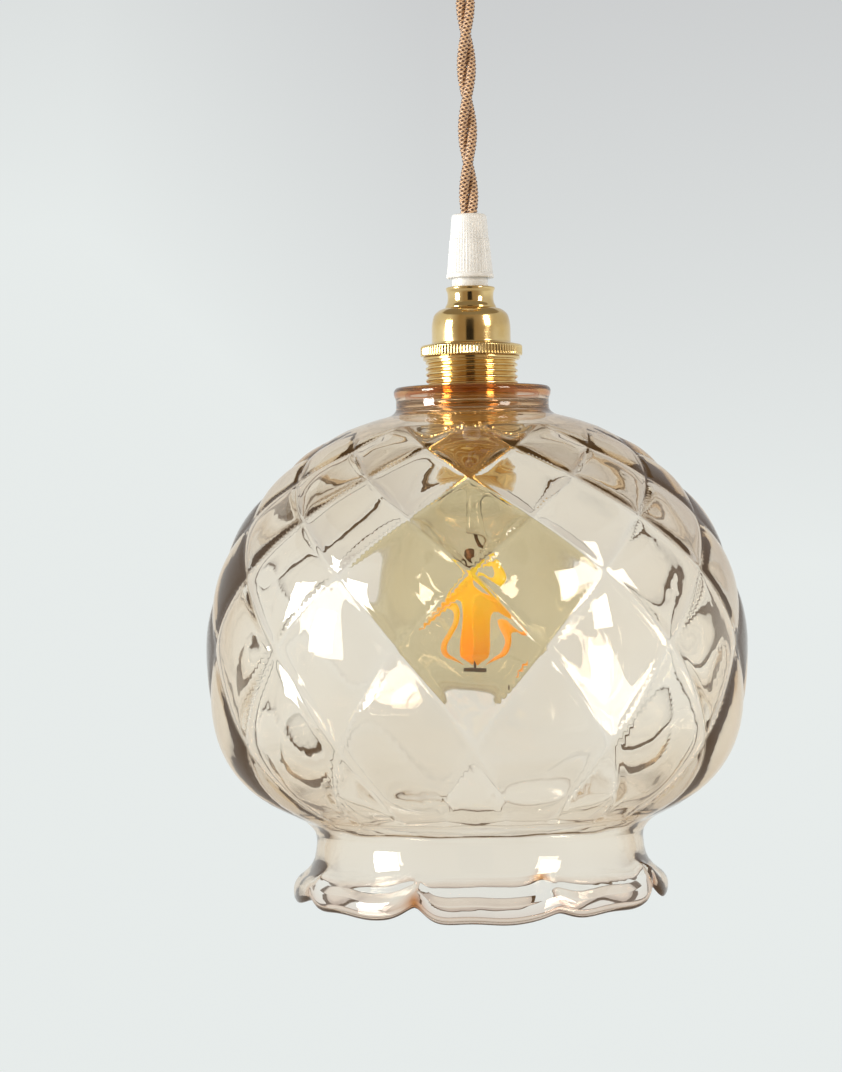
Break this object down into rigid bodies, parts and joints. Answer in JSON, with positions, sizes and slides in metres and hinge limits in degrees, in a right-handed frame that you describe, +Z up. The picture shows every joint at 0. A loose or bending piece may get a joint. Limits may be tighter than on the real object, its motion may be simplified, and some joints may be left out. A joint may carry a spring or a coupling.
{
  "type": "pendant ceiling light",
  "caption": "Pendant ceiling light: quilted amber glass globe with a ruffled lip, on a brass threaded lamp holder, hung by a twisted textile cord from a cup rose.",
  "frame": {"origin": "centre of the rose on the ceiling plane, where the strap's top face touches the ceiling", "axes": "+Z up into the ceiling, the lamp hangs towards -Z; +X along the strap and its two slots; the set screw in the holder's neck is at the back, towards +Y"},
  "size_m": [0.2284, 0.2284, 0.453],
  "materials": {
    "zinc_steel": "zinc plated",
    "white_nylon": "moulded, slightly translucent",
    "brass_plain": "drawn brass",
    "polished_brass": "polished and lacquered",
    "bush_rubber": "moulded",
    "core_sleeve": "extruded insulation",
    "textile_cord": "braided rayon, satin",
    "porcelain": "glazed",
    "nickel_shell": "nickel plated, pressed",
    "amber_glass": "blown, fire polished",
    "clear_silicone": "moulded silicone",
    "solder": "soldered",
    "black_cap_glass": "black vitrite",
    "smoked_bulb_glass": "blown, amber tinted",
    "stem_glass": "drawn tube",
    "lead_wire": "oxidised wire",
    "filament_silicone": "phosphor filled silicone"
  },
  "bodies": {
    "root": {"ceiling_bracket": "zinc_steel", "terminal_block": "white_nylon", "terminal_tubes": "brass_plain", "terminal_screws": "zinc_steel", "rose_cover": "polished_brass", "rose_screws": "polished_brass", "outlet_socket": "white_nylon", "outlet_nut": "white_nylon", "rose_cores": "core_sleeve"},
    "bush": {"outlet_bush": "bush_rubber"},
    "pendant": {"cord_stop": "white_nylon", "cord": "textile_cord", "grip_nut": "white_nylon", "grip_gland": "white_nylon", "lamp_cores": "core_sleeve", "holder_cap": "polished_brass", "neck_screw": "zinc_steel", "holder_shell": "polished_brass", "holder_insulator": "porcelain", "shell_liner": "porcelain", "screw_shell": "nickel_shell", "centre_contact": "brass_plain", "holder_terminals": "brass_plain"},
    "ring_washer": {"upper_ring_washer": "polished_brass"},
    "ring_upper": {"upper_ring": "polished_brass"},
    "shade_body": {"shade": "amber_glass", "shade_washer": "clear_silicone"},
    "ring_lower": {"lower_ring": "polished_brass"},
    "tip": {"bulb_tip": "solder"},
    "bulb": {"bulb_insulator": "black_cap_glass", "bulb_cap": "nickel_shell", "bulb_glass": "smoked_bulb_glass", "bulb_stem": "stem_glass", "bulb_leads": "lead_wire", "filament_holders": "lead_wire", "bulb_filaments": "filament_silicone"}
  },
  "joints": [
    {"name": "swing_x", "type": "hinge", "parent": "root", "child": "bush", "pos_m": [0, 0, -0.034], "axis": [1, 0, 0], "range_deg": [-25, 25]},
    {"name": "swing_y", "type": "hinge", "parent": "bush", "child": "pendant", "pos_m": [0, 0, -0.034], "axis": [0, 1, 0], "range_deg": [-25, 25]},
    {"name": "upper_ring_travel", "type": "slide", "parent": "pendant", "child": "ring_washer", "axis": [0, 0, -1], "range_m": [0, 0.0175]},
    {"name": "upper_ring_turn", "type": "hinge", "parent": "ring_washer", "child": "ring_upper", "pos_m": [0, 0, -0.2137], "axis": [0, 0, -1], "range_deg": [0, 2530]},
    {"name": "shade_travel", "type": "slide", "parent": "pendant", "child": "shade_body", "axis": [0, 0, -1], "range_m": [0, 0.025]},
    {"name": "lower_ring_turn", "type": "hinge", "parent": "shade_body", "child": "ring_lower", "pos_m": [0, 0, -0.244], "axis": [0, 0, -1], "range_deg": [0, 3610]},
    {"name": "bulb_travel", "type": "slide", "parent": "pendant", "child": "tip", "axis": [0, 0, -1], "range_m": [0, 0.01815]},
    {"name": "bulb_turn", "type": "hinge", "parent": "tip", "child": "bulb", "pos_m": [0, 0, -0.2575], "axis": [0, 0, -1], "range_deg": [0, 1810]}
  ],
  "couplings": [
    {"joint": "upper_ring_turn", "follows": "upper_ring_travel", "rad_per_m": 2513.3},
    {"joint": "lower_ring_turn", "follows": "shade_travel", "rad_per_m": 2513.3},
    {"joint": "bulb_turn", "follows": "bulb_travel", "rad_per_m": 1731.4}
  ]
}
